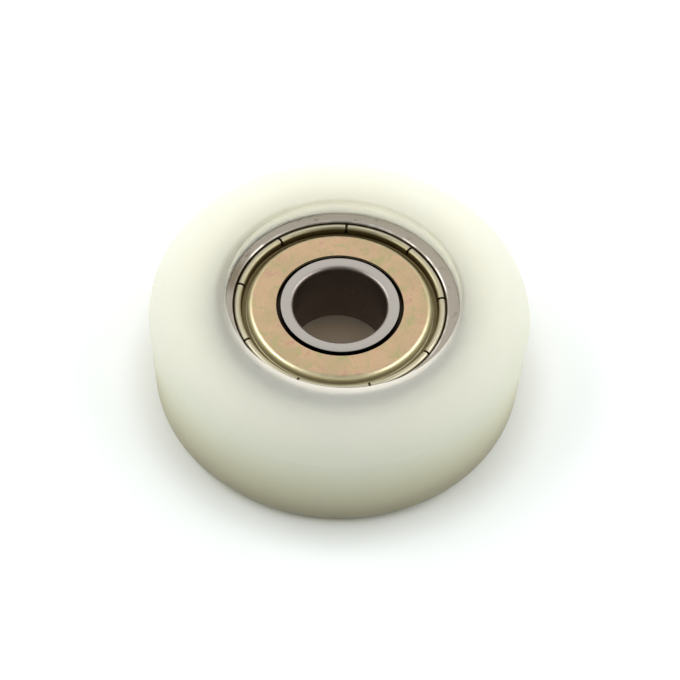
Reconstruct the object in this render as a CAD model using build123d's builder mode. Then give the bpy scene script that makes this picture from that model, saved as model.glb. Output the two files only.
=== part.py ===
# Sliding door roller: a nylon tyre moulded over a shielded deep groove ball bearing.
# Millimetres. The roller lies on its flat side: the origin is the centre of the tyre's lower
# face, +Z runs up the axle's axis, and the side with the shallow recess looks up.

from build123d import *
from math import acos, atan2, cos, degrees, radians, sin, sqrt, tan
import os

os.makedirs("parts", exist_ok=True)

# Bearing, main sizes
bore_d = 7.0
bearing_d = 19.0
bearing_w = 6.0
outer_chamfer = 0.3
bore_chamfer = 0.34

# Balls and raceways
ball_d = 3.175
ball_count = 7
ball_start_angle = 12.0
race_conformity = 0.52
race_depth = 0.49
ball_play = 0.02

# Ring faces, seen beside the shields
inner_face_w = 1.0
outer_face_w = 1.42
inner_edge_chamfer = 0.06
outer_edge_chamfer = 0.12
inner_step_depth = 0.62

# Shields, pressed from sheet
shield_t = 0.2
plate_recess = 0.07
plate_air = 0.32
shoulder_bend = 0.36
trough_w = 0.38
trough_clearance = 0.12
rim_w = 0.59
rim_recess = 0.03
rim_bend = 0.13
rim_gap = 0.13
tab_seat_rise = 0.2
tab_reach = 0.23
tab_play = 0.05
slit_count = 9
slit_w = 0.13
slit_start_angle = 8.65
lower_shield_turn = 17.0

# Cage, two pressed halves held by rivets
cage_t = 0.28
cage_w = 1.5
pocket_play = 0.06
rivet_d = 0.5
rivet_head_d = 0.84
rivet_head_h = 0.22
rivet_head_bevel = 0.12

# Tyre
tread_d = 28.8
foot_d = 27.75
tyre_w = 10.14
upper_recess = 1.24
bevel_h = 1.84
bevel_w = 1.444
crown_round = 3.5
bevel_round = 1.25
foot_round = 1.2
opening_d = 17.6
opening_shift = (0.2, 0.1)
upper_draft = 2.0
lower_draft = 6.0
upper_mouth_bevel = 0.12
lower_mouth_bevel = 0.5

# Places that follow from the sizes
bearing_r = bearing_d / 2
bore_r = bore_d / 2
half_w = bearing_w / 2
lower_recess = tyre_w - upper_recess - bearing_w
mid_z = lower_recess + half_w
pitch_r = (bore_r + bearing_r) / 2
race_round = race_conformity * ball_d
inner_race_r = pitch_r - ball_d / 2 - ball_play
outer_race_r = pitch_r + ball_d / 2 + ball_play
inner_shoulder_r = inner_race_r + race_depth
outer_shoulder_r = outer_race_r - race_depth
inner_face_r = bore_r + inner_face_w
outer_face_r = bearing_r - outer_face_w
race_half_angle = degrees(acos(1 - race_depth / race_round))
cage_h = ball_d / 2 + pocket_play + cage_t

# The shield's sheet, as radii and as depths below the bearing's face
sheet = shield_t / 2
rim_outer_r = outer_face_r - rim_gap
rim_inner_r = rim_outer_r - rim_w
trough_inner_r = rim_inner_r - trough_w
tab_r = rim_outer_r + tab_reach
plate_inner_r = inner_face_r + plate_air
plate_depth = plate_recess + sheet
rim_depth = rim_recess + sheet
trough_depth = half_w - cage_h - trough_clearance - sheet
trough_bottom = trough_depth + sheet + tab_play
tab_seat_depth = trough_bottom - tab_seat_rise
tab_depth = tab_seat_depth - sheet
tab_groove_r = tab_r + rim_gap
tab_groove_top = tab_seat_depth - shield_t - tab_play
tab_seat_r = rim_inner_r + shield_t + rim_gap

# Section plane through the axle's axis, with its origin at the bearing's centre
bearing_section = Plane(origin=(0, 0, mid_z), x_dir=(1, 0, 0), z_dir=(0, -1, 0))
bearing_middle = Plane.XY.offset(mid_z)
upper_face = Plane.XY.offset(mid_z + half_w)
lower_face = Plane.XY.offset(mid_z - half_w)


def save(piece, name):
    """Label one finished piece and write its STEP file."""
    piece.part.label = name
    export_step(piece.part, "parts/" + name + ".step")


# Inner ring: a plain bore for the axle, a raceway for the balls, and a step down at each end
# that leaves room for the shield's plate.
with BuildPart() as inner_ring:
    with BuildSketch(bearing_section):
        with BuildLine():
            race = CenterArc((inner_race_r + race_round, 0), race_round, 180, -race_half_angle)
            body = Polyline(
                race @ 1,
                (inner_shoulder_r, half_w - inner_step_depth),
                (inner_face_r, half_w - inner_step_depth),
                (inner_face_r, half_w - inner_edge_chamfer),
                (inner_face_r - inner_edge_chamfer, half_w),
                (bore_r + bore_chamfer, half_w),
                (bore_r, half_w - bore_chamfer),
                (bore_r, 0),
            )
            Line(body @ 1, race @ 0)
        make_face()
        mirror(about=Plane.XZ)
    revolve(axis=Axis.Z)
save(inner_ring, "inner_ring")

# Outer ring: the raceway's shoulder, the seat and the groove that hold each shield's tabs, and
# a narrow land at each face.
with BuildPart() as outer_ring:
    with BuildSketch(bearing_section):
        with BuildLine():
            race = CenterArc((outer_race_r - race_round, 0), race_round, 0, race_half_angle)
            body = Polyline(
                race @ 1,
                (outer_shoulder_r, half_w - trough_bottom),
                (tab_seat_r, half_w - trough_bottom),
                (tab_seat_r, half_w - tab_seat_depth),
                (tab_groove_r, half_w - tab_seat_depth),
                (tab_groove_r, half_w - tab_groove_top),
                (outer_face_r, half_w - tab_groove_top),
                (outer_face_r, half_w - outer_edge_chamfer),
                (outer_face_r + outer_edge_chamfer, half_w),
                (bearing_r - outer_chamfer, half_w),
                (bearing_r, half_w - outer_chamfer),
                (bearing_r, 0),
            )
            Line(body @ 1, race @ 0)
        make_face()
        mirror(about=Plane.XZ)
    revolve(axis=Axis.Z)
save(outer_ring, "outer_ring")

# Balls, evenly spaced on the pitch circle.
ball_step = 360 / ball_count
for index in range(ball_count):
    angle = radians(ball_start_angle + index * ball_step)
    with BuildPart() as ball:
        with Locations((pitch_r * cos(angle), pitch_r * sin(angle), mid_z)):
            Sphere(ball_d / 2)
    save(ball, "ball_" + str(index + 1))

# Cage: each half is a ribbon of sheet, bent over every ball into a half-round pocket and flat
# between them, where the rivets go through.
pocket_r = ball_d / 2 + pocket_play
cage_outer_r = pitch_r + cage_w / 2
cage_inner_r = pitch_r - cage_w / 2
rivet_start_angle = ball_start_angle + ball_step / 2
with BuildPart() as cage_upper:
    with BuildSketch(bearing_middle) as cage_ring:
        Circle(cage_outer_r)
        Circle(cage_inner_r, mode=Mode.SUBTRACT)
    extrude(amount=cage_t)
    with Locations(bearing_middle):
        with PolarLocations(pitch_r, ball_count, start_angle=ball_start_angle):
            Cylinder(pocket_r + cage_t, cage_w * 2, rotation=(0, 90, 0))
    extrude(cage_ring.sketch, amount=cage_h, mode=Mode.INTERSECT)
    with Locations(bearing_middle):
        with PolarLocations(pitch_r, ball_count, start_angle=ball_start_angle):
            Cylinder(pocket_r, cage_w * 2, rotation=(0, 90, 0), mode=Mode.SUBTRACT)
        with PolarLocations(pitch_r, ball_count, start_angle=rivet_start_angle):
            Cylinder(rivet_d / 2, cage_h * 2, mode=Mode.SUBTRACT)
save(cage_upper, "cage_upper")

with BuildPart() as cage_lower:
    mirror(cage_upper.part, about=bearing_middle)
save(cage_lower, "cage_lower")

# Cage rivets: a shank through both halves, with a low bevelled head on each side.
head_top_r = rivet_head_d / 2 - rivet_head_bevel
head_side_h = rivet_head_h - rivet_head_bevel
with BuildPart() as rivet:
    Cylinder(rivet_d / 2, cage_t * 2)
    with Locations(Plane.XY.offset(cage_t)):
        Cylinder(rivet_head_d / 2, head_side_h, align=(Align.CENTER, Align.CENTER, Align.MIN))
    with Locations(Plane.XY.offset(cage_t + head_side_h)):
        Cone(
            rivet_head_d / 2,
            head_top_r,
            rivet_head_bevel,
            align=(Align.CENTER, Align.CENTER, Align.MIN),
        )
    mirror(about=Plane.XY)

with BuildPart() as cage_rivets:
    with Locations(bearing_middle):
        with PolarLocations(pitch_r, ball_count, start_angle=rivet_start_angle):
            add(rivet.part)
save(cage_rivets, "cage_rivets")

# Shields: a flat plate, a sloped shoulder down into a narrow trough, and a curled rim that ends
# in an outward edge. Slits cut the rim into springy tabs that snap into the outer ring. The
# line below is the middle of the sheet, and each bend that shows is two half right angles.
wall_r = trough_inner_r - sheet
rise_r = rim_inner_r + sheet
fall_r = rim_outer_r - sheet
slit_inner_r = rim_inner_r - shield_t / 4
slit_length = tab_groove_r - slit_inner_r
with BuildPart() as shield_upper:
    with BuildSketch(bearing_section):
        with BuildLine():
            Polyline(
                (plate_inner_r, half_w - plate_depth),
                (wall_r - shoulder_bend, half_w - plate_depth),
                (wall_r, half_w - plate_depth - shoulder_bend),
                (wall_r, half_w - trough_depth),
                (rise_r, half_w - trough_depth),
                (rise_r, half_w - rim_depth - rim_bend),
                (rise_r + rim_bend, half_w - rim_depth),
                (fall_r - rim_bend, half_w - rim_depth),
                (fall_r, half_w - rim_depth - rim_bend),
                (fall_r, half_w - tab_depth),
                (tab_r, half_w - tab_depth),
            )
            offset(amount=sheet, side=Side.BOTH, kind=Kind.INTERSECTION)
        make_face()
    revolve(axis=Axis.Z)
    with Locations(upper_face):
        with PolarLocations(slit_inner_r + slit_length / 2, slit_count, slit_start_angle):
            Box(slit_length, slit_w, bearing_w / 2, mode=Mode.SUBTRACT)
save(shield_upper, "shield_upper")

with BuildPart() as shield_lower:
    mirror(shield_upper.part.rotate(Axis.Z, lower_shield_turn), about=bearing_middle)
save(shield_lower, "shield_lower")

# Tyre: one nylon moulding that wraps the bearing's rim. Its tread narrows a little towards the
# lower face, its upper edge rounds over a bevel, and the core pins leave a round opening on
# each side of the bearing.
bevel_z = tyre_w - bevel_h
crown_r = tread_d / 2 - bevel_w
bevel_angle = atan2(bevel_w, bevel_h)
tread_angle = atan2((tread_d - foot_d) / 2, bevel_z)
crown_reach = crown_round * tan((radians(90) - bevel_angle) / 2)
bevel_spare = sqrt(bevel_w**2 + bevel_h**2) - crown_reach
bevel_fit = 0.99 * bevel_spare / tan((bevel_angle + tread_angle) / 2)
opening_r = opening_d / 2
upper_mouth_r = opening_r + (upper_recess - upper_mouth_bevel) * tan(radians(upper_draft))
lower_mouth_r = opening_r + (lower_recess - lower_mouth_bevel) * tan(radians(lower_draft))
with BuildPart() as bearing_space:
    with Locations(bearing_middle):
        Cylinder(bearing_r, bearing_w)
    chamfer(bearing_space.edges().filter_by(GeomType.CIRCLE), outer_chamfer)

with BuildPart() as tyre:
    with BuildSketch(Plane.XZ):
        with BuildLine():
            outside = FilletPolyline(
                (0, 0),
                (foot_d / 2, 0),
                (tread_d / 2, bevel_z),
                (crown_r, tyre_w),
                (0, tyre_w),
                radius=(foot_round, min(bevel_round, bevel_fit), crown_round),
            )
            Line(outside @ 1, outside @ 0)
        make_face()
    revolve(axis=Axis.Z)
    add(bearing_space.part, mode=Mode.SUBTRACT)
    with BuildSketch(upper_face):
        with Locations(opening_shift):
            Circle(opening_r)
    extrude(amount=upper_recess, taper=-upper_draft, mode=Mode.SUBTRACT)
    with BuildSketch(Plane.XY.offset(tyre_w - upper_mouth_bevel)):
        with Locations(opening_shift):
            Circle(upper_mouth_r)
    extrude(amount=upper_mouth_bevel, taper=-45, mode=Mode.SUBTRACT)
    with BuildSketch(lower_face):
        Circle(opening_r)
    extrude(amount=-lower_recess, taper=-lower_draft, mode=Mode.SUBTRACT)
    with BuildSketch(Plane.XY.offset(lower_mouth_bevel)):
        Circle(lower_mouth_r)
    extrude(amount=-lower_mouth_bevel, taper=-45, mode=Mode.SUBTRACT)
save(tyre, "tyre")
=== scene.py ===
"""Sliding door roller: the finish of every piece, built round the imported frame."""

import math

import bpy
from mathutils import Matrix, Vector


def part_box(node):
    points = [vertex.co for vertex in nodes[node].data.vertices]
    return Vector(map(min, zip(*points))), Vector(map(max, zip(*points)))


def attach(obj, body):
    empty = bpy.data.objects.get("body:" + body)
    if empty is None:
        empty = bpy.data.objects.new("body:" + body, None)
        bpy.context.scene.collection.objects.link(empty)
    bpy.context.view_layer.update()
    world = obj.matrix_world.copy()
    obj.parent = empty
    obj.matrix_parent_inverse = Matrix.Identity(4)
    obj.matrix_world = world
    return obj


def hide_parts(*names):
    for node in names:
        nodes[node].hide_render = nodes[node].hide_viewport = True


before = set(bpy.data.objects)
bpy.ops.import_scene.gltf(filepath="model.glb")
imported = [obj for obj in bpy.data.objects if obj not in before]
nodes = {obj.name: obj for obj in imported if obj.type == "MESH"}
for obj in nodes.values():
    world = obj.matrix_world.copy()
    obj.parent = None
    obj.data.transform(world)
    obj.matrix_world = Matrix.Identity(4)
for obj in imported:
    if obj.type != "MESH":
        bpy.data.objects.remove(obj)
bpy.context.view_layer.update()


# Tyre: one moulding of natural nylon round the bearing, slightly translucent, with a broad
# rounded crown, a tapered tread and a round opening at each side where the mould's core stood.
# It is turned up from a ring, in millimetres, and each edge that the mould rounded is bevelled.
MM = 0.001
TYRE_STEPS = 256
TYRE_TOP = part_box("tyre")[1].z / MM
FACE_UP = 8.9
FACE_DOWN = 2.9
BEARING_R = 9.5
BEARING_CHAMFER = 0.3
TREAD_R = 14.4
FOOT_R = 13.875
BEVEL_Z = TYRE_TOP - 1.84
CROWN_R = TREAD_R - 1.444
OPENING_R = 8.8
OPENING_SHIFT = (0.2, 0.1)
UPPER_MOUTH_R = 8.843
LIP_LOOP_R = 9.3
LOWER_MOUTH_R = 9.1
# The hidden seat lies inside the ring, so that the opening's wall stays light down to its foot.
SEAT_UP = FACE_UP - 0.35
CROWN_ROUND = 1.70
TREAD_ROUND = 0.47
FOOT_ROUND = 1.12
LOWER_MOUTH_ROUND = 0.5
UPPER_MOUTH_ROUND = 0.07
SCATTER = 30.0
WELD = 0.002
ON_RING = 0.012


def turned(name, profile, steps, shifts=None, closed=True):
    """Turn a profile of radii and heights, in millimetres, into a closed ring or an open sheet."""
    bpy.ops.object.select_all(action="DESELECT")
    first_r, first_z = profile[0]
    bpy.ops.mesh.primitive_circle_add(vertices=steps, radius=first_r * MM, location=(0, 0, first_z * MM))
    piece = bpy.context.object
    piece.name = name
    bpy.ops.object.transform_apply(location=True)
    bpy.ops.object.mode_set(mode="EDIT")
    bpy.ops.mesh.select_mode(type="EDGE")
    bpy.ops.mesh.select_all(action="SELECT")
    shifts = shifts or {}
    for index in range(len(profile) if closed else len(profile) - 1):
        following = (index + 1) % len(profile)
        radius, height = profile[index]
        next_r, next_z = profile[following]
        old_x, old_y = shifts.get(index, (0, 0))
        new_x, new_y = shifts.get(following, (0, 0))
        grow = next_r / radius
        step = (new_x - old_x, new_y - old_y, next_z - height)
        bpy.ops.mesh.extrude_edges_move()
        bpy.ops.transform.resize(value=(grow, grow, 1), center_override=(old_x * MM, old_y * MM, 0))
        bpy.ops.transform.translate(value=[way * MM for way in step])
    bpy.ops.mesh.select_all(action="SELECT")
    bpy.ops.mesh.remove_doubles(threshold=WELD * MM)
    bpy.ops.mesh.normals_make_consistent(inside=False)
    bpy.ops.object.mode_set(mode="OBJECT")
    return piece


def take(piece):
    """Make this piece the selected and active object, and no other."""
    bpy.ops.object.select_all(action="DESELECT")
    bpy.context.view_layer.objects.active = piece
    piece.select_set(True)


def pick_edges(piece, wanted):
    """Select the edges whose two ends, in millimetres, both satisfy the test."""
    take(piece)
    bpy.ops.object.mode_set(mode="EDIT")
    bpy.ops.mesh.select_mode(type="EDGE")
    bpy.ops.mesh.select_all(action="DESELECT")
    bpy.ops.object.mode_set(mode="OBJECT")
    chosen = [wanted(vertex.co / MM) for vertex in piece.data.vertices]
    for edge in piece.data.edges:
        edge.select = chosen[edge.vertices[0]] and chosen[edge.vertices[1]]
    bpy.ops.object.mode_set(mode="EDIT")


def ring_round(piece, radius, height, reach, segments, centre=(0, 0)):
    """Round the ring edge at this radius and height; reach is the width taken off each side."""

    def on_ring(place):
        away = math.hypot(place.x - centre[0], place.y - centre[1])
        return abs(away - radius) < ON_RING and abs(place.z - height) < ON_RING

    pick_edges(piece, on_ring)
    bpy.ops.mesh.bevel(offset=reach * MM, offset_type="OFFSET", segments=segments, profile=0.5)
    bpy.ops.object.mode_set(mode="OBJECT")


def smooth(piece, degrees=30):
    """Shade a piece smooth, keeping corners sharper than the given angle."""
    take(piece)
    bpy.ops.object.shade_smooth_by_angle(angle=math.radians(degrees))


tyre = turned(
    "nylon_tyre",
    [
        (LOWER_MOUTH_R, 0.0),
        (FOOT_R, 0.0),
        (TREAD_R, BEVEL_Z),
        (CROWN_R, TYRE_TOP),
        (LIP_LOOP_R, TYRE_TOP),
        (UPPER_MOUTH_R, TYRE_TOP),
        (OPENING_R, SEAT_UP),
        (BEARING_R - BEARING_CHAMFER, SEAT_UP),
        (BEARING_R, FACE_UP - BEARING_CHAMFER),
        (BEARING_R, FACE_DOWN + BEARING_CHAMFER),
        (BEARING_R - BEARING_CHAMFER, FACE_DOWN),
        (OPENING_R, FACE_DOWN),
    ],
    TYRE_STEPS,
    {5: OPENING_SHIFT, 6: OPENING_SHIFT},
)
ring_round(tyre, CROWN_R, TYRE_TOP, CROWN_ROUND, 16)
ring_round(tyre, TREAD_R, BEVEL_Z, TREAD_ROUND, 10)
ring_round(tyre, FOOT_R, 0.0, FOOT_ROUND, 12)
ring_round(tyre, LOWER_MOUTH_R, 0.0, LOWER_MOUTH_ROUND, 6)
ring_round(tyre, UPPER_MOUTH_R, TYRE_TOP, UPPER_MOUTH_ROUND, 4, OPENING_SHIFT)
smooth(tyre)


def group(name, inputs, outputs):
    """Start a shader node group with named number and vector sockets."""
    tree = bpy.data.node_groups.new(name, "ShaderNodeTree")
    kinds = {"value": "NodeSocketFloat", "vector": "NodeSocketVector"}
    for socket, kind, start in inputs:
        made = tree.interface.new_socket(socket, in_out="INPUT", socket_type=kinds[kind])
        if start is not None:
            made.default_value = start
    for socket, kind in outputs:
        tree.interface.new_socket(socket, in_out="OUTPUT", socket_type=kinds[kind])
    return tree, tree.nodes.new("NodeGroupInput"), tree.nodes.new("NodeGroupOutput")


def join(tree, source, target):
    """Link one socket to another, or set a plain value on the target."""
    if isinstance(source, bpy.types.NodeSocket):
        tree.links.new(source, target)
    else:
        target.default_value = source


def sums(tree, operation, first, second=0.0):
    """Add a math node and return its result."""
    node = tree.nodes.new("ShaderNodeMath")
    node.operation = operation
    join(tree, first, node.inputs[0])
    join(tree, second, node.inputs[1])
    return node.outputs[0]


def times(tree, first, second):
    """Multiply two values, such as a mask and another mask or its strength."""
    return sums(tree, "MULTIPLY", first, second)


def spread(tree, value, low, high, start=0.0, end=1.0):
    """Map a value from one range to another, smoothly and clamped."""
    node = tree.nodes.new("ShaderNodeMapRange")
    node.interpolation_type = "SMOOTHSTEP"
    for socket, given in zip(node.inputs, (value, low, high, start, end)):
        join(tree, given, socket)
    return node.outputs[0]


def noise(tree, place, size_mm, detail=3.0, rough=0.55, distortion=0.0):
    """Add a noise whose features are about the given size, in millimetres."""
    node = tree.nodes.new("ShaderNodeTexNoise")
    node.inputs["Scale"].default_value = 1 / (size_mm * MM)
    node.inputs["Detail"].default_value = detail
    node.inputs["Roughness"].default_value = rough
    node.inputs["Distortion"].default_value = distortion
    join(tree, place, node.inputs["Vector"])
    return node.outputs["Fac"]


def mixed(tree, factor, first, second, blend="MIX"):
    """Mix two colours and return the result."""
    node = tree.nodes.new("ShaderNodeMix")
    node.data_type = "RGBA"
    node.blend_type = blend
    join(tree, factor, node.inputs["Factor"])
    for name, value in (("A", first), ("B", second)):
        socket = [s for s in node.inputs if s.name == name and s.type == "RGBA"][0]
        join(tree, value, socket)
    return [s for s in node.outputs if s.type == "RGBA"][0]


def paint(red, green, blue):
    """A colour as the photograph's own 0 to 255 values, made linear for the shader."""
    linear = [((value / 255 + 0.055) / 1.055) ** 2.4 for value in (red, green, blue)]
    return (*linear, 1.0)


def tint(tree, colour, mask, strength, shade):
    """Lay a shade over a colour, where the mask is, as strongly as the given part of it."""
    return mixed(tree, times(tree, mask, strength), colour, shade)


def polar_group():
    """Radius, height and angle about the axle, in metres and turns, and a place wrapped round it."""
    tree, given, result = group(
        "around_axle", [("Place", "vector", None)],
        [("Radius", "value"), ("Height", "value"), ("Turn", "value"), ("Rings", "vector")],
    )
    parts = tree.nodes.new("ShaderNodeSeparateXYZ")
    join(tree, given.outputs["Place"], parts.inputs[0])
    x, y, z = parts.outputs
    radius = sums(tree, "SQRT", sums(tree, "ADD", times(tree, x, x), times(tree, y, y)))
    turn = sums(tree, "DIVIDE", sums(tree, "ARCTAN2", y, x), 2 * math.pi)
    rings = tree.nodes.new("ShaderNodeCombineXYZ")
    join(tree, radius, rings.inputs[0])
    join(tree, z, rings.inputs[1])
    join(tree, radius, result.inputs["Radius"])
    join(tree, z, result.inputs["Height"])
    join(tree, turn, result.inputs["Turn"])
    join(tree, rings.outputs[0], result.inputs["Rings"])
    return tree


AROUND = polar_group()


def material(name):
    """Start a material; returns it with its tree, main shader and Object coordinates."""
    made = bpy.data.materials.new(name)
    made.use_nodes = True
    tree = made.node_tree
    shader = tree.nodes["Principled BSDF"]
    place = tree.nodes.new("ShaderNodeTexCoord").outputs["Object"]
    return made, tree, shader, place


def placed(tree, shared, place):
    """Put a shared group into a material, fed with the place."""
    node = tree.nodes.new("ShaderNodeGroup")
    node.node_tree = shared
    join(tree, place, node.inputs["Place"])
    return node


def bump(tree, shader, height, depth_mm, strength):
    """Drive the shader's normal by a height, as deep as the given millimetres."""
    node = tree.nodes.new("ShaderNodeBump")
    node.inputs["Strength"].default_value = strength
    node.inputs["Distance"].default_value = depth_mm * MM
    join(tree, height, node.inputs["Height"])
    join(tree, node.outputs["Normal"], shader.inputs["Normal"])


nylon, tree, shader, place = material("natural_nylon")
around = placed(tree, AROUND, place)
radius = around.outputs["Radius"]
height = around.outputs["Height"]
cloud = noise(tree, place, 6.0, 2.0)
grain = noise(tree, place, 0.35, 3.0)
specks = noise(tree, place, 0.5, 2.0, 0.6)
fresh = mixed(tree, cloud, paint(252, 241, 198), paint(250, 242, 203))
# Painted shade: the tyre is painted darker and more olive towards its foot, for the shade low on the
# tread.
painted_shade_low_down = spread(tree, height, 8.0 * MM, 0.0 * MM)
on_side = spread(tree, height, 9.8 * MM, 6.5 * MM)
# Painted shade: the top face is painted greyer at the opening's edge, next to the bearing.
painted_lip_shade = times(tree, spread(tree, radius, 9.5 * MM, 9.1 * MM), spread(tree, height, 9.8 * MM, 10.0 * MM))
dirt = times(tree, spread(tree, specks, 0.735, 0.77), spread(tree, radius, 8.6 * MM, 9.6 * MM, 1.0, 0.0))
colour = tint(tree, fresh, on_side, 0.35, paint(249, 238, 176))
colour = tint(tree, colour, painted_shade_low_down, 0.85, paint(217, 192, 140))
colour = tint(tree, colour, painted_lip_shade, 0.8, paint(214, 208, 172))
colour = tint(tree, colour, dirt, 0.7, paint(120, 105, 90))
join(tree, colour, shader.inputs["Base Color"])
shader.inputs["Subsurface Weight"].default_value = 1.0
shader.inputs["Subsurface Radius"].default_value = (1.0, 0.98, 0.93)
shader.inputs["Subsurface Scale"].default_value = SCATTER * MM
shader.inputs["Roughness"].default_value = 0.6
shader.inputs["IOR"].default_value = 1.53
bump(tree, shader, grain, 0.012, 0.35)
tyre.data.materials.append(nylon)
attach(tyre, "roller")
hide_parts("tyre")


# Outer ring: ground bearing steel, seen as a narrow band between the tyre's opening and the
# shield. Its inner corner is a small ground chamfer, and handling has left stains on it.
RING_STEPS = 192
LAND_R = 8.08
LAND_CHAMFER = 0.12
GROOVE_R = 8.31
SEAT_R = 7.69
SHOULDER_R = 7.6175
MID = (FACE_UP + FACE_DOWN) / 2
GROOVE_TOP = 0.5525
SEAT_DEPTH = 0.8025
TROUGH_DEPTH = 1.0025
RACE_R = 6.4565
RACE_ROUND = 1.651
RACE_HALF_W = 1.1714
RACE_STEPS = 8
HALF = (FACE_UP - FACE_DOWN) / 2


def race_arc(middle_r, side):
    """The upper half of a raceway, outside its round's centre for side 1 and inside it for -1."""
    last = math.asin(RACE_HALF_W / RACE_ROUND)
    turns = [last * step / RACE_STEPS for step in range(RACE_STEPS + 1)]
    return [(middle_r + side * RACE_ROUND * math.cos(a), RACE_ROUND * math.sin(a)) for a in turns]


def mirrored(half):
    """Complete a profile given from the bearing's middle up, by its mirror image below."""
    return [(r, MID + h) for r, h in half] + [(r, MID - h) for r, h in half[-2:0:-1]]


outer_half = race_arc(RACE_R, 1) + [
    (SHOULDER_R, HALF - TROUGH_DEPTH),
    (SEAT_R, HALF - TROUGH_DEPTH),
    (SEAT_R, HALF - SEAT_DEPTH),
    (GROOVE_R, HALF - SEAT_DEPTH),
    (GROOVE_R, HALF - GROOVE_TOP),
    (LAND_R, HALF - GROOVE_TOP),
    (LAND_R, HALF),
    (BEARING_R, HALF),
    (BEARING_R, 0.0),
]
outer_ring = turned("outer_bearing_ring", mirrored(outer_half), RING_STEPS)
for face in (FACE_UP, FACE_DOWN):
    ring_round(outer_ring, LAND_R, face, LAND_CHAMFER, 3)
    ring_round(outer_ring, BEARING_R, face, BEARING_CHAMFER, 4)
smooth(outer_ring)


def turning_group():
    """Fine concentric marks of a grinding wheel, as a height and as a tone."""
    tree, given, result = group(
        "grinding_marks", [("Place", "vector", None), ("Pitch", "value", 0.05)],
        [("Height", "value"), ("Tone", "value")],
    )
    around = placed(tree, AROUND, given.outputs["Place"])
    fine = tree.nodes.new("ShaderNodeTexNoise")
    join(tree, around.outputs["Rings"], fine.inputs["Vector"])
    join(tree, sums(tree, "DIVIDE", 1000.0, given.outputs["Pitch"]), fine.inputs["Scale"])
    fine.inputs["Detail"].default_value = 2.0
    broad = tree.nodes.new("ShaderNodeTexNoise")
    join(tree, around.outputs["Rings"], broad.inputs["Vector"])
    join(tree, sums(tree, "DIVIDE", 220.0, given.outputs["Pitch"]), broad.inputs["Scale"])
    patch = noise(tree, given.outputs["Place"], 1.6, 3.0)
    tone = sums(tree, "ADD", times(tree, broad.outputs["Fac"], 0.5), times(tree, patch, 0.5))
    join(tree, fine.outputs["Fac"], result.inputs["Height"])
    join(tree, tone, result.inputs["Tone"])
    return tree


def stain_group():
    """Soft dark stains and small sharp specks, as two masks from 0 to 1."""
    tree, given, result = group(
        "stains", [("Place", "vector", None), ("Cover", "value", 0.5)],
        [("Stain", "value"), ("Speck", "value")],
    )
    soft = noise(tree, given.outputs["Place"], 1.1, 4.0, 0.62)
    low = sums(tree, "SUBTRACT", 0.72, times(tree, given.outputs["Cover"], 0.2))
    stain = spread(tree, soft, low, sums(tree, "ADD", low, 0.13))
    sharp = noise(tree, given.outputs["Place"], 0.3, 2.0, 0.7)
    speck = spread(tree, sharp, 0.7, 0.74)
    join(tree, stain, result.inputs["Stain"])
    join(tree, speck, result.inputs["Speck"])
    return tree


GRINDING = turning_group()
STAINS = stain_group()

ring_steel, tree, shader, place = material("ground_bearing_steel")
marks = placed(tree, GRINDING, place)
marks.inputs["Pitch"].default_value = 0.045
stains = placed(tree, STAINS, place)
stains.inputs["Cover"].default_value = 0.75
around = placed(tree, AROUND, place)
turn = around.outputs["Turn"]
worn = times(tree, spread(tree, turn, 0.41, 0.45), spread(tree, turn, 0.498, 0.47))
# The ground chamfer is painted lighter and made less rough in noise patches: partly a polished edge,
# partly painted glints.
painted_glint_patches = spread(tree, noise(tree, place, 2.2, 2.0), 0.42, 0.6)
edge = times(tree, spread(tree, around.outputs["Radius"], 8.27 * MM, 8.2 * MM), painted_glint_patches)
colour = mixed(tree, marks.outputs["Tone"], paint(150, 144, 134), paint(172, 164, 155))
colour = tint(tree, colour, stains.outputs["Stain"], 0.6, paint(96, 84, 78))
colour = tint(tree, colour, stains.outputs["Speck"], 0.8, paint(58, 44, 40))
colour = tint(tree, colour, worn, 0.7, paint(112, 100, 82))
colour = mixed(tree, edge, colour, paint(214, 208, 202))
join(tree, colour, shader.inputs["Base Color"])
shader.inputs["Metallic"].default_value = 1.0
rough = spread(tree, marks.outputs["Tone"], 0.3, 0.7, 0.3, 0.46)
join(tree, sums(tree, "SUBTRACT", rough, times(tree, edge, 0.14)), shader.inputs["Roughness"])
bump(tree, shader, marks.outputs["Height"], 0.004, 0.5)
outer_ring.data.materials.append(ring_steel)
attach(outer_ring, "roller")
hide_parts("outer_ring")


# Shields: pressed from thin zinc-plated sheet and yellow passivated, one snapped into each side
# of the outer ring. The sheet's middle line is turned, its bends are rounded, the wall gets its
# thickness, and nine slits cut the curled rim into tabs.
SHEET = 0.2
SHIELD_STEPS = 360
PLATE_INNER_R = 4.82
PLATE_DEPTH = 0.17
WALL_R = 6.88
TROUGH_MID_DEPTH = 0.8525
RISE_R = 7.53
FALL_R = 7.905
RIM_DEPTH = 0.13
TAB_DEPTH = 0.7025
TAB_R = 8.18
# Radius, depth under the bearing's face, then how far the bend reaches and its steps.
SHIELD_LINE = [
    (PLATE_INNER_R, PLATE_DEPTH, None),
    (WALL_R, PLATE_DEPTH, (0.36, 8)),
    (WALL_R, TROUGH_MID_DEPTH, (0.2, 4)),
    (RISE_R, TROUGH_MID_DEPTH, (0.19, 4)),
    (RISE_R, RIM_DEPTH, (0.185, 5)),
    (FALL_R, RIM_DEPTH, (0.185, 5)),
    (FALL_R, TAB_DEPTH, (0.12, 3)),
    (TAB_R, TAB_DEPTH, None),
]
SLITS = 9
SLIT_W = 0.19
SLIT_START = 8.65
SLIT_PAST = 0.1
SLIT_TALL = 3.0
SLIT_MID = FACE_UP + 0.9
LOWER_TURN = 17.0


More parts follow.
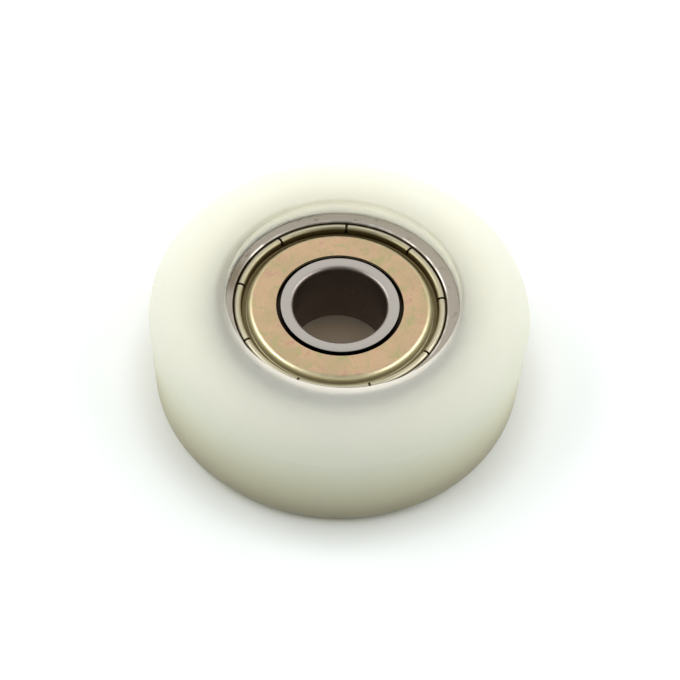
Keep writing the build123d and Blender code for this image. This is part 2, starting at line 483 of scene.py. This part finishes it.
def shield_sheet(name):
    """One shield, facing up, with its slits cut through the rim."""
    line = [(radius, FACE_UP - depth) for radius, depth, bend in SHIELD_LINE]
    piece = turned(name, line, SHIELD_STEPS, closed=False)
    for (radius, height), (_, _, bend) in zip(line, SHIELD_LINE):
        if bend:
            ring_round(piece, radius, height, bend[0], bend[1])
    bpy.ops.object.mode_set(mode="EDIT")
    bpy.ops.mesh.select_all(action="SELECT")
    bpy.ops.mesh.normals_make_consistent(inside=False)
    bpy.ops.object.mode_set(mode="OBJECT")
    wall = piece.modifiers.new("wall", "SOLIDIFY")
    wall.thickness = SHEET * MM
    wall.offset = 0
    wall.use_even_offset = True
    wall.use_quality_normals = True
    bpy.ops.object.modifier_apply(modifier=wall.name)
    length = TAB_R + SLIT_PAST - (RISE_R - SHEET * 0.7)
    middle_r = TAB_R + SLIT_PAST - length / 2
    for index in range(SLITS):
        turn = math.radians(SLIT_START + index * 360 / SLITS)
        middle = Vector((middle_r * math.cos(turn), middle_r * math.sin(turn), SLIT_MID)) * MM
        size = (length * MM, SLIT_W * MM, SLIT_TALL * MM)
        bpy.ops.mesh.primitive_cube_add(size=1, location=middle, rotation=(0, 0, turn), scale=size)
        if index:
            cutter.select_set(True)
            bpy.context.view_layer.objects.active = cutter
            bpy.ops.object.join()
        cutter = bpy.context.object
    cut = piece.modifiers.new("slits", "BOOLEAN")
    cut.operation = "DIFFERENCE"
    cut.object = cutter
    cut.solver = "EXACT"
    take(piece)
    bpy.ops.object.modifier_apply(modifier=cut.name)
    bpy.data.objects.remove(cutter)
    smooth(piece, 35)
    return piece


shield_upper = shield_sheet("upper_shield")

passivated, tree, shader, place = material("yellow_passivated_zinc")
around = placed(tree, AROUND, place)
radius = around.outputs["Radius"]
height = around.outputs["Height"]
stains = placed(tree, STAINS, place)
stains.inputs["Cover"].default_value = 0.35
broad = noise(tree, place, 2.6, 3.0, 0.6, 0.4)
middling = noise(tree, place, 1.0, 4.0, 0.6, 0.6)
fine = noise(tree, place, 0.22, 3.0, 0.6)
rim = spread(tree, radius, 6.55 * MM, 6.8 * MM)
bead = spread(tree, radius, 7.52 * MM, 7.66 * MM)
# Painted shade: the bead's inner side, facing into the trough, is painted a darker olive.
inner = times(tree, spread(tree, radius, 7.2 * MM, 7.35 * MM), spread(tree, radius, 7.68 * MM, 7.56 * MM))
deep = spread(tree, height, 8.77 * MM, 8.62 * MM)
# Painted shade: the trough's floor and the foot of the bead beside it are painted nearly black.
dark = times(tree, spread(tree, height, 8.8 * MM, 8.68 * MM), spread(tree, radius, 7.03 * MM, 7.12 * MM))
flank = times(tree, deep, spread(tree, radius, 7.12 * MM, 7.04 * MM))
peach = mixed(tree, spread(tree, broad, 0.35, 0.65), paint(199, 169, 139), paint(184, 164, 131))
green = mixed(tree, spread(tree, middling, 0.52, 0.7), peach, paint(174, 168, 125))
plate = mixed(tree, spread(tree, middling, 0.44, 0.3), green, paint(191, 151, 132))
# The plate's rounded bend is painted lighter and whiter than the plate, a painted highlight tone.
shoulder_highlight_tone = mixed(tree, broad, paint(220, 213, 180), paint(208, 200, 166))
silver = mixed(tree, broad, paint(192, 188, 166), paint(182, 175, 156))
colour = mixed(tree, rim, plate, shoulder_highlight_tone)
colour = mixed(tree, bead, colour, silver)
colour = mixed(tree, deep, colour, paint(196, 187, 148))
colour = tint(tree, colour, inner, 0.85, paint(138, 130, 100))
colour = tint(tree, colour, dark, 0.9, paint(66, 56, 30))
colour = tint(tree, colour, fine, 0.25, paint(150, 132, 100))
colour = tint(tree, colour, stains.outputs["Stain"], 0.35, paint(128, 104, 78))
colour = tint(tree, colour, stains.outputs["Speck"], 0.5, paint(70, 58, 48))
join(tree, colour, shader.inputs["Base Color"])
join(tree, sums(tree, "SUBTRACT", 1.0, times(tree, flank, 0.7)), shader.inputs["Metallic"])
join(tree, spread(tree, middling, 0.3, 0.7, 0.3, 0.44), shader.inputs["Roughness"])
bump(tree, shader, fine, 0.006, 0.35)
shield_upper.data.materials.append(passivated)
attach(shield_upper, "roller")
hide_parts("shield_upper")

shield_lower = shield_upper.copy()
shield_lower.data = shield_upper.data.copy()
shield_lower.name = "lower_shield"
bpy.context.scene.collection.objects.link(shield_lower)
middle = Matrix.Translation((0, 0, MID * MM))
flip = middle @ Matrix.Diagonal((1, 1, -1, 1)) @ middle.inverted()
shield_lower.data.transform(flip @ Matrix.Rotation(math.radians(LOWER_TURN), 4, "Z"))
shield_lower.data.flip_normals()
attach(shield_lower, "roller")
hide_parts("shield_lower")


# Inner ring: ground bearing steel with a bright end face, a rounded corner into the bore, and a
# step down on its outside that clears the shields. The bore is painted dark and lightly scratched.
BORE_R = 3.5
BORE_ROUND = 0.34
FACE_R = 4.5
FACE_EDGE = 0.06
STEP_DEPTH = 0.62
INNER_SHOULDER_R = 5.3825
INNER_RACE_R = 6.5435
inner_half = race_arc(INNER_RACE_R, -1) + [
    (INNER_SHOULDER_R, HALF - STEP_DEPTH),
    (FACE_R, HALF - STEP_DEPTH),
    (FACE_R, HALF),
    (BORE_R, HALF),
    (BORE_R, 0.0),
]
inner_ring = turned("inner_bearing_ring", mirrored(inner_half), RING_STEPS)
for face in (FACE_UP, FACE_DOWN):
    ring_round(inner_ring, FACE_R, face, FACE_EDGE, 3)
    ring_round(inner_ring, BORE_R, face, BORE_ROUND, 6)
smooth(inner_ring)

face_steel, tree, shader, place = material("ground_face_and_dark_bore")
radius = placed(tree, AROUND, place).outputs["Radius"]
marks = placed(tree, GRINDING, place)
marks.inputs["Pitch"].default_value = 0.035
bright = mixed(tree, marks.outputs["Tone"], paint(165, 160, 155), paint(177, 172, 168))
in_bore = spread(tree, radius, 3.55 * MM, 3.8 * MM, 1.0, 0.0)
scratches = noise(tree, place, 0.3, 4.0, 0.7, 2.5)
bore_tone = mixed(tree, spread(tree, scratches, 0.62, 0.72), paint(110, 98, 92), paint(178, 168, 160))
colour = mixed(tree, in_bore, bright, bore_tone)
# Painted shade: beyond the end face's outer edge, in the gap under the shield, the ring is painted nearly
# black.
painted_gap_shade = spread(tree, radius, 4.46 * MM, 4.5 * MM)
colour = mixed(tree, painted_gap_shade, colour, paint(40, 34, 28))
join(tree, colour, shader.inputs["Base Color"])
shader.inputs["Metallic"].default_value = 1.0
join(tree, sums(tree, "ADD", 0.32, times(tree, in_bore, 0.1)), shader.inputs["Roughness"])
bump(tree, shader, marks.outputs["Height"], 0.004, 0.5)
inner_ring.data.materials.append(face_steel)
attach(inner_ring, "axle_ring")
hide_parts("inner_ring")


# Balls: polished chrome steel. They keep the frame's own solids and carry a thin film of grease
# that dulls them in patches.
ball_steel, tree, shader, place = material("polished_ball_steel")
film = noise(tree, place, 0.9, 3.0)
join(tree, mixed(tree, film, paint(190, 190, 192), paint(170, 164, 150)), shader.inputs["Base Color"])
shader.inputs["Metallic"].default_value = 1.0
join(tree, spread(tree, film, 0.35, 0.65, 0.06, 0.24), shader.inputs["Roughness"])
for number in range(1, 8):
    ball = nodes[f"ball_{number}"]
    ball.data.materials.clear()
    ball.data.materials.append(ball_steel)


# Cage: two ribbons of soft steel sheet pressed over the balls, held together by seven rivets.
# They keep the frame's own solids, with the dull grain of cold rolled strip.
cage_steel, tree, shader, place = material("cold_rolled_strip")
strip = noise(tree, place, 0.4, 4.0)
join(tree, mixed(tree, strip, paint(150, 146, 140), paint(178, 172, 162)), shader.inputs["Base Color"])
shader.inputs["Metallic"].default_value = 1.0
join(tree, spread(tree, strip, 0.3, 0.7, 0.3, 0.5), shader.inputs["Roughness"])
bump(tree, shader, strip, 0.006, 0.4)
for name in ("cage_upper", "cage_lower", "cage_rivets"):
    part = nodes[name]
    part.data.materials.clear()
    part.data.materials.append(cage_steel)


# Floor: a plain pale sheet with the roller's soft shadow on it, deepened by painted shadow round
# its foot. Away from the roller it glows for the camera, for reflections and for what is seen
# through, and a little under its bore it glows warm, a painted pool of light.
FLOOR_SIZE = 3.0
WHITE = (1, 1, 1, 1)
PAINTED_WARM_LIGHT = (1.0, 0.62, 0.26, 1)
bpy.ops.object.select_all(action="DESELECT")
bpy.ops.mesh.primitive_plane_add(size=FLOOR_SIZE, location=(0, 0, 0))
floor = bpy.context.object
floor.name = "pale_floor"
floor_paint, tree, shader, place = material("pale_floor")
sheet = mixed(tree, noise(tree, place, 90.0, 2.0), paint(226, 233, 238), paint(229, 235, 240))
join(tree, sheet, shader.inputs["Base Color"])
shader.inputs["Roughness"].default_value = 0.9
shader.inputs["Specular IOR Level"].default_value = 0.1
glow = tree.nodes.new("ShaderNodeEmission")
path = tree.nodes.new("ShaderNodeLightPath")
seen = sums(tree, "MAXIMUM", path.outputs["Is Camera Ray"], path.outputs["Is Glossy Ray"])
seen = sums(tree, "MAXIMUM", seen, path.outputs["Is Transmission Ray"])
measure = tree.nodes.new("ShaderNodeVectorMath")
measure.operation = "LENGTH"
join(tree, place, measure.inputs[0])
from_middle = measure.outputs["Value"]
# The glow is nothing at the tyre's edge and full a few millimetres out, so the floor round its foot stays
# darker: painted shadow over the real one.
beside = times(tree, spread(tree, from_middle, 14 * MM, 17.5 * MM), 0.165)
far_off = times(tree, spread(tree, from_middle, 21 * MM, 90 * MM), 0.4)
# Painted light: a faint warm glow on the floor under the bore.
under = spread(tree, from_middle, 8 * MM, 4 * MM)
amount = sums(tree, "ADD", sums(tree, "ADD", beside, far_off), times(tree, under, 0.08))
join(tree, mixed(tree, under, WHITE, PAINTED_WARM_LIGHT), glow.inputs["Color"])
join(tree, times(tree, seen, amount), glow.inputs["Strength"])
both = tree.nodes.new("ShaderNodeAddShader")
join(tree, shader.outputs[0], both.inputs[0])
join(tree, glow.outputs[0], both.inputs[1])
join(tree, both.outputs[0], tree.nodes["Material Output"].inputs["Surface"])
floor.data.materials.append(floor_paint)


# Lights: one soft box above each side of the roller, and a pale room that is bright behind the
# roller and overhead and dim in front of it, where the camera stands.
BOX_AT = (0.2, 0.0, 0.22)
BOX_AIM = (0, 0, 0.005)
BOX_SIZE = (0.3, 0.12)
BOX_COLOUR = (1.0, 0.99, 0.95)
LEFT_POWER = 0.485
RIGHT_POWER = 0.43
BLACK = (0, 0, 0, 1)
ROOM_FRONT = (0.24, 0.245, 0.235, 1)
ROOM_BEHIND = (1.15, 1.13, 1.08, 1)
ROOM_ABOVE = (0.42, 0.435, 0.43, 1)


def soft_box(side, power):
    """An area light on one side, -1 or 1, turned towards the roller, with its power in watts."""
    lamp = bpy.data.lights.new("side_box", "AREA")
    lamp.shape = "RECTANGLE"
    lamp.size, lamp.size_y = BOX_SIZE
    lamp.energy = power
    lamp.color = BOX_COLOUR
    holder = bpy.data.objects.new("side_box", lamp)
    bpy.context.scene.collection.objects.link(holder)
    holder.visible_camera = False
    place = Vector((side * BOX_AT[0], BOX_AT[1], BOX_AT[2]))
    facing = (Vector(BOX_AIM) - place).to_track_quat("-Z", "Y").to_matrix().to_4x4()
    holder.matrix_world = Matrix.Translation(place) @ facing


soft_box(-1, LEFT_POWER)
soft_box(1, RIGHT_POWER)
world = bpy.data.worlds.new("pale_room")
bpy.context.scene.world = world
world.use_nodes = True
tree = world.node_tree
parts = tree.nodes.new("ShaderNodeSeparateXYZ")
join(tree, tree.nodes.new("ShaderNodeTexCoord").outputs["Generated"], parts.inputs[0])
front = spread(tree, parts.outputs[1], 0.2, -0.9)
behind = spread(tree, parts.outputs[1], -0.2, 0.9)
above = spread(tree, parts.outputs[2], 0.5, 1.0)
room = mixed(tree, front, BLACK, ROOM_FRONT)
room = mixed(tree, behind, room, ROOM_BEHIND)
room = mixed(tree, above, room, ROOM_ABOVE, "ADD")
join(tree, room, tree.nodes["Background"].inputs["Color"])


# Camera: a long lens from above the near side, at the photograph's angle.
FOCAL_PX = 3321.0
DISTANCE = 0.25
ELEVATION = math.radians(52.25)
ROLL = math.radians(2.965)
CENTRE_PX = (340.07, 304.44)
PICTURE_PX = 680
target = Vector((0, 0, FACE_UP * MM))
back = Vector((0, -math.cos(ELEVATION), math.sin(ELEVATION)))
level = Vector((1, 0, 0))
rise = back.cross(level)
right = level * math.cos(ROLL) + rise * math.sin(ROLL)
up = rise * math.cos(ROLL) - level * math.sin(ROLL)
per_px = DISTANCE / FOCAL_PX
eye = target + back * DISTANCE
eye -= right * (CENTRE_PX[0] - PICTURE_PX / 2) * per_px
eye += up * (CENTRE_PX[1] - PICTURE_PX / 2) * per_px
lens = bpy.data.cameras.new("camera")
lens.sensor_width = 36
lens.lens = FOCAL_PX * lens.sensor_width / PICTURE_PX
lens.clip_start = 0.01
camera = bpy.data.objects.new("camera", lens)
bpy.context.scene.collection.objects.link(camera)
turn = Matrix((right, up, back)).transposed().to_4x4()
camera.matrix_world = Matrix.Translation(eye) @ turn
bpy.context.scene.camera = camera
bpy.context.scene.view_settings.view_transform = "Standard"
